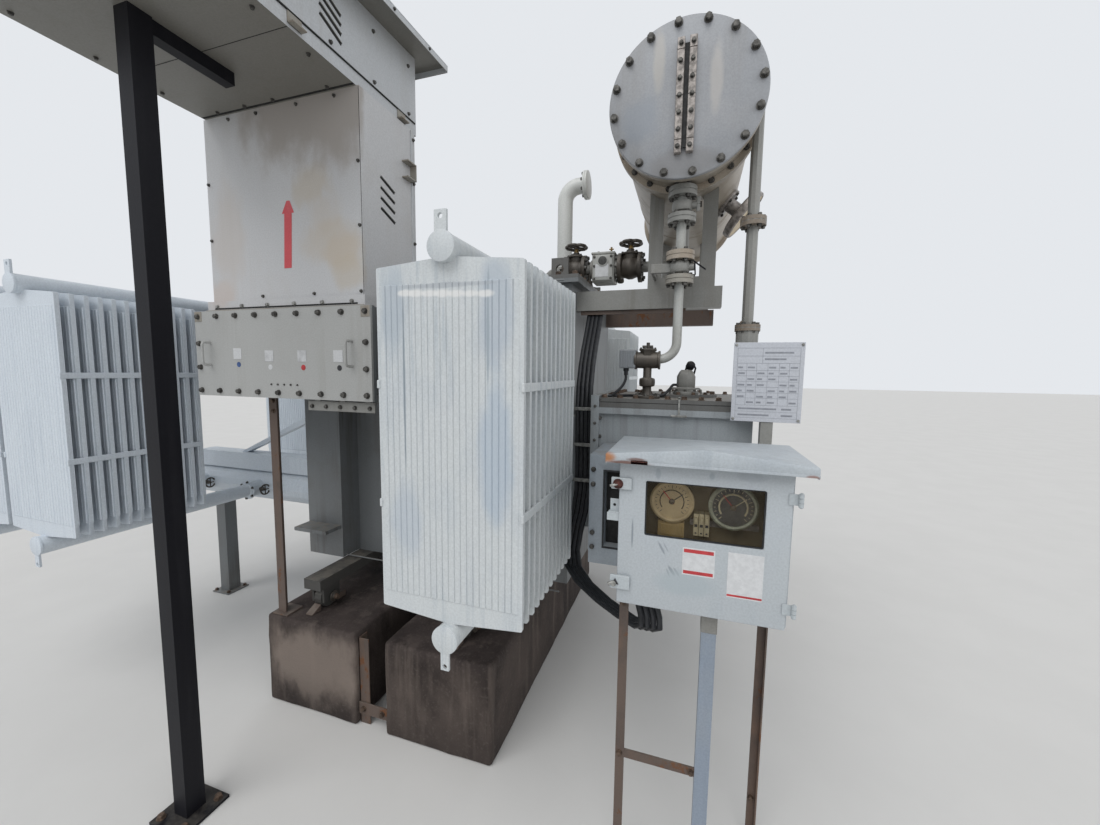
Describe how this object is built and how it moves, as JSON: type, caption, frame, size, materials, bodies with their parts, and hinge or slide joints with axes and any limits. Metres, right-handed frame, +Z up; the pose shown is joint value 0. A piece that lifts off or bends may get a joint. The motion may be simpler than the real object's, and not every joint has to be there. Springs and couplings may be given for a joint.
{
  "type": "power transformer",
  "caption": "Oil-filled power transformer with plate radiators, conservator drum, terminal box and hood, tap changer and a marshalling box, standing on concrete plinths.",
  "frame": {"origin": "middle of the footprint, on the ground", "axes": "+X to the right along the front, from the radiator bank to the tap changer; +Y to the back; +Z up"},
  "size_m": [4.189, 3.345, 3.3505],
  "materials": {
    "radiator_paint": "pale weathered paint with blue-grey stains",
    "grey_paint": "weathered grey paint, dusty, rust at the edges",
    "kiosk_paint": "pale grey-green paint, stained and scuffed",
    "hood_paint": "mid grey satin paint",
    "concrete": "rough dark concrete, dusty and streaked",
    "black_steel": "black satin paint",
    "rusty_steel": "brown rust",
    "old_iron": "dark brown oily iron",
    "blue_paint": "faded blue-grey paint",
    "plate_white": "pale etched plate, bare",
    "window_glass": "dusty glass",
    "dial_face": "yellowed pale paint",
    "cable_black": "black sheath"
  },
  "bodies": {
    "transformer": {"bank_beam": "grey_paint", "bank_leg": "grey_paint", "breather_pipe": "grey_paint", "breather_pipe_small": "grey_paint", "cable_bundle": "cable_black", "conservator_cover": "grey_paint", "conservator_drum": "grey_paint", "dial_gauge": "dial_face", "drive_cabinet": "grey_paint", "gas_relay": "grey_paint", "gauge_panel": "dial_face", "hood_duct": "hood_paint", "hood_post": "black_steel", "hood_roof": "hood_paint", "hv_box_cover": "grey_paint", "hv_terminal_box": "grey_paint", "kiosk_back_leg": "rusty_steel", "kiosk_front_leg": "rusty_steel", "kiosk_post": "blue_paint", "kiosk_roof": "kiosk_paint", "kiosk_shell": "kiosk_paint", "lv_box_cover": "grey_paint", "lv_box_leg": "rusty_steel", "lv_terminal_box": "grey_paint", "manifold_high": "grey_paint", "manifold_low": "grey_paint", "oil_level_gauge": "grey_paint", "oil_pipe": "old_iron", "plate_post": "grey_paint", "plinth_left": "concrete", "plinth_right": "concrete", "radiator_back": "radiator_paint", "radiator_front": "radiator_paint", "radiator_side_back_1": "radiator_paint", "radiator_side_back_2": "radiator_paint", "radiator_side_front_1": "radiator_paint", "radiator_side_front_2": "radiator_paint", "rating_plate": "plate_white", "relief_valve": "old_iron", "riser_box": "hood_paint", "saddle_back": "grey_paint", "saddle_front": "grey_paint", "skid_left": "grey_paint", "skid_right": "grey_paint", "support_beam_back": "grey_paint", "support_beam_front": "grey_paint", "surge_pipe": "grey_paint", "surge_relay": "grey_paint", "tank": "grey_paint", "tank_cover": "grey_paint", "tap_changer_lid": "grey_paint", "tap_changer_tank": "grey_paint", "vent_pipe": "radiator_paint"},
    "kiosk_door": {"kiosk_door": "kiosk_paint", "kiosk_window": "window_glass"},
    "valve_wheel_left": {"valve_wheel_left": "old_iron"},
    "valve_wheel_right": {"valve_wheel_right": "old_iron"}
  },
  "joints": [
    {"name": "kiosk_door_hinge", "type": "hinge", "parent": "transformer", "child": "kiosk_door", "pos_m": [1.9815, -1.0705, 1.035], "axis": [0, 0, 1], "range_deg": [0, 110]},
    {"name": "valve_left_spin", "type": "hinge", "parent": "transformer", "child": "valve_wheel_left", "pos_m": [1.0415, -0.0125, 2.4613], "axis": [0, 0, 1], "continuous": true},
    {"name": "valve_right_spin", "type": "hinge", "parent": "transformer", "child": "valve_wheel_right", "pos_m": [1.3415, -0.0125, 2.4613], "axis": [0, 0, 1], "continuous": true}
  ]
}
